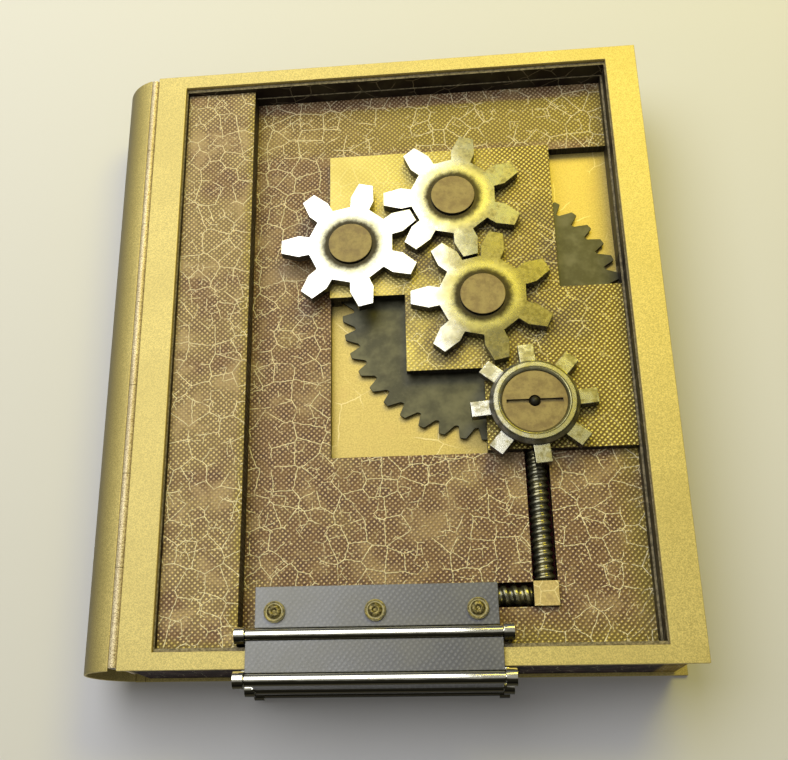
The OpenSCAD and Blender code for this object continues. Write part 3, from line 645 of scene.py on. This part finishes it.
def threaded_shaft(name, material, body, node, axis, pitch, core, crest, start, end, journal):
    """Shaft with a real right-hand thread from start to end along an axis, and plain journals.

    Start and end are millimetres along the axis. Journal is the radius of the two journals, which run to the
    ends of the CAD node."""
    low, high = box_mm(node)
    index = 0 if axis == "X" else 1
    centre = middle_mm(node)
    sides, per_turn = 40, 14
    shoulder, run_out = 0.02, 0.8
    rows = max(2, round((end - start) / pitch * per_turn))
    made = bmesh.new()
    stations = [(low[index], journal[0]), (start - shoulder, journal[0])]
    stations += [(start + (end - start) * i / rows, None) for i in range(rows + 1)]
    stations += [(end + shoulder, journal[1]), (high[index], journal[1])]
    rings = []
    for along, plain in stations:
        ring = []
        for i in range(sides):
            angle = 2 * math.pi * i / sides
            turns = (along - start) / pitch - i / sides
            fade = min(1.0, (along - start) / run_out, (end - along) / run_out)
            radius = plain or core + (thread_radius(turns, core, crest) - core) * max(0.0, fade)
            across, up = radius * math.cos(angle), radius * math.sin(angle)
            if axis == "X":
                point = (along, centre[1] + across, centre[2] + up)
            else:
                point = (centre[0] + up, along, centre[2] + across)
            ring.append(made.verts.new(point))
        rings.append(ring)
    for near, far in zip(rings, rings[1:]):
        for i in range(sides):
            after = (i + 1) % sides
            made.faces.new((near[i], near[after], far[after], far[i]))
    made.faces.new(rings[0])
    made.faces.new(rings[-1])
    return finish_piece(made, name, material, body, "gunmetal", node)


def screw_heads(material):
    """Three turned screw heads: a flange, a groove, a dome and a small centre dimple.

    The profile is in shares of the head's radius and height."""
    low, high = box_mm("clasp_screws")
    radius = (high.y - low.y) / 2
    height = high.z - low.z
    steps = 48
    profile = [(1.0, 0.0), (1.0, 0.42), (0.955, 0.60), (0.88, 0.66), (0.80, 0.60), (0.755, 0.42),
               (0.715, 0.44), (0.68, 0.62), (0.58, 0.84), (0.44, 0.96), (0.31, 1.0), (0.25, 0.95),
               (0.22, 0.78), (0.15, 0.70), (0.07, 0.72), (0.02, 0.74)]
    xs = (low.x + radius, (low.x + high.x) / 2, high.x - radius)
    for number, x in enumerate(xs, 1):
        made = turned([(r * radius, low.z + h * height) for r, h in profile], steps)
        bmesh.ops.translate(made, vec=(x, (low.y + high.y) / 2, 0), verts=made.verts)
        piece = finish_piece(made, f"clasp_screw_{number}", material, "cover", "dark_brass")
        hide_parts("clasp_screws")


# ---- CAD nodes ----

def soften(node, width, segments=2):
    """Rounds a node's edges a little, as worn metal has them, and shades it smoothly."""
    o = nodes[node]
    mesh = o.data
    if mesh.has_custom_normals:
        bpy.context.view_layer.objects.active = o
        bpy.ops.mesh.customdata_custom_splitnormals_clear()
    mesh.shade_smooth()
    weld = o.modifiers.new("weld", "WELD")
    weld.merge_threshold = 1e-6
    planar = o.modifiers.new("planar", "DECIMATE")
    planar.decimate_type = "DISSOLVE"
    planar.angle_limit = math.radians(0.5)
    planar.delimit = {"NORMAL", "MATERIAL"}
    bevel = o.modifiers.new("bevel", "BEVEL")
    bevel.limit_method = "ANGLE"
    bevel.angle_limit = math.radians(30)
    bevel.width = width * MM
    bevel.segments = segments
    bevel.use_clamp_overlap = True
    weighted = o.modifiers.new("weighted", "WEIGHTED_NORMAL")
    weighted.weight = 80


def paint(material, edge, *names):
    """Gives nodes a material and a rounded edge in millimetres."""
    for name in names:
        data = nodes[name].data
        data.materials.clear()
        data.materials.append(material)
        if edge:
            soften(name, edge)


def plate_the_barrels(plates, rods):
    """Gives chrome to the faces of the clasp's plates that lie round a rod's axis."""
    collar_low, collar_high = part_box("link_collars")
    reach = (collar_high.z - collar_low.z) / 2 + 0.15 * MM
    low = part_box("lower_flap")[0]
    bar = (low.y + reach, low.z + reach)
    for name, joint, extra in (("link_plate", "clasp_lift", None), ("upper_flap", "clasp_upper_swing", None),
                               ("lower_flap", "clasp_lower_swing", bar)):
        place = joints[joint]["pos_m"]
        axes = [(place[1], place[2])] + ([extra] if extra else [])
        mesh = nodes[name].data
        mesh.materials.clear()
        mesh.materials.append(plates)
        mesh.materials.append(rods)
        for face in mesh.polygons:
            near = min(math.hypot(face.center.y - y, face.center.z - z) for y, z in axes)
            face.material_index = 1 if near < reach else 0
        soften(name, 0.15)


def dress_nodes():
    """Gives every CAD node its material and its edge radius."""
    brass, dark, gun = brass_sheet(), aged_brass(), gunmetal()
    # Brass of the hinge beads: its very pale top colour is a painted highlight along the hinge.
    bead_highlight = brass_sheet("bead_brass_highlight", (0.36, 0.26, 0.13), (1.0, 0.90, 0.62))
    tin, rods, cloth = pewter(), chrome(), felt()
    wall = page_leather()
    panel_edges = near_edges("main_panel", 13, ("fore", "foot"), head_band=(5, 24))
    strip_edges = near_edges("side_strip", 4, ("fore", "foot"))
    back_edges = near_edges("back_panel", 14, ("spine", "fore", "foot", "head"))
    panel = leather("panel_leather", 0.42, panel_edges)
    strip = leather("strip_leather", 1.0, strip_edges, seed=19)
    back = leather("back_leather", 0.42, back_edges, seed=29)
    paint(brass, 0.25, "cover_frame", "back_cover")
    paint(brass_sheet("spine_brass", minus_x_shade=0.85), 0.25, "spine_shell")
    paint(bead_highlight, 0.1, "hinge_cover_leaf", "hinge_case_leaf")
    paint(panel, 0.2, "main_panel", "clasp_pad")
    paint(strip, 0.25, "side_strip")
    paint(back, 0, "back_panel")
    paint(wall, 0.2, "spine_board", "fore_board", "head_board", "tail_board")
    paint(wall, 0, "spine_ribs", "floor_spacer")
    paint(moulding(), 0.15, "cover_moulding")
    paint(gilded_plate(), 0.2, "mechanism_plate")
    paint(block_brass(), 0.2, "corner_block")
    paint(floor_brass(), 0, "floor_plate")
    paint(cloth, 0, "case_floor", "cover_liner")
    paint(gun, 0.12, "index_wheel", "hinge_pin", "lock_keeper", "shaft_bearing", "lock_bolt")
    paint(gunmetal("dark_steel", 0.35), 0.12, "dial_stud", "wheel_arbor", "dial_pegs", "drive_pinion",
          "drive_bevel", "lead_bevel", "axle_post_a", "axle_post_b")
    paint(dark, 0.2, "axle_cap_a", "axle_cap_b", "axle_cap_c", "dial_disc", "catch_block")
    paint(dark, 0, "keeper_screws")
    paint(tin, 0.2, "clasp_leaf")
    plate_the_barrels(tin, rods)
    paint(rods, 0.2, "clasp_bracket", "link_collars", "upper_collars")
    paint(rods, 0.1, "clasp_pin_1", "clasp_pin_2", "clasp_pin_3", "catch_magnets")
    # Each gear: its cap, the colour it is painted towards the fore side as shade, that shade's reach, then
    # the share of stains and painted shade at the spine side and at the fore side.
    gears = (("gear_a", "axle_cap_a", (0.86, 0.85, 0.78), (0, 30), 0.0, 0.12),
             ("gear_b", "axle_cap_b", (0.175, 0.180, 0.180), (-8, 16), 0.15, 0.7),
             ("gear_c", "axle_cap_c", (0.165, 0.150, 0.075), (-15, 4), 0.25, 0.7))
    for gear, cap, *look in gears:
        paint(gear_metal(gear + "_metal", middle_mm(cap), *look), 0.22, gear)
    ring_low, ring_high = box_mm("dial_ring")
    grooves = (12.9, (ring_high.x - ring_low.x) / 2 - 1.4)
    dial = gear_metal("dial_metal", middle_mm("dial_disc"), (0.62, 0.60, 0.36), (-10, 16), 0.75, 0.85,
                      blot=3.4, grooves=grooves)
    paint(dial, 0.22, "dial_gear", "dial_ring")


def add_pieces():
    """The threads and the clasp's screw heads, which replace plainer CAD nodes."""
    steel = thread_steel()
    core, crest, gap = 2.9, 3.7, 0.4
    block_low, block_high = box_mm("corner_block")
    pinion_low = box_mm("drive_pinion")[0]
    threaded_shaft("drive_thread", steel, "drive_shaft", "drive_screw", "Y", 2.7, core, crest,
                   start=block_high.y + gap, end=pinion_low.y - gap, journal=(1.6, 1.6))
    leaf_high = box_mm("clasp_leaf")[1]
    threaded_shaft("lead_thread", steel, "lead_shaft", "lead_screw", "X", 3.6, core, crest,
                   start=leaf_high.x - 2.8, end=block_low.x - gap, journal=(2.4, 1.6))
    screw_heads(screw_brass())


make_camera()
make_light()
make_floor()
dress_nodes()
add_pieces()
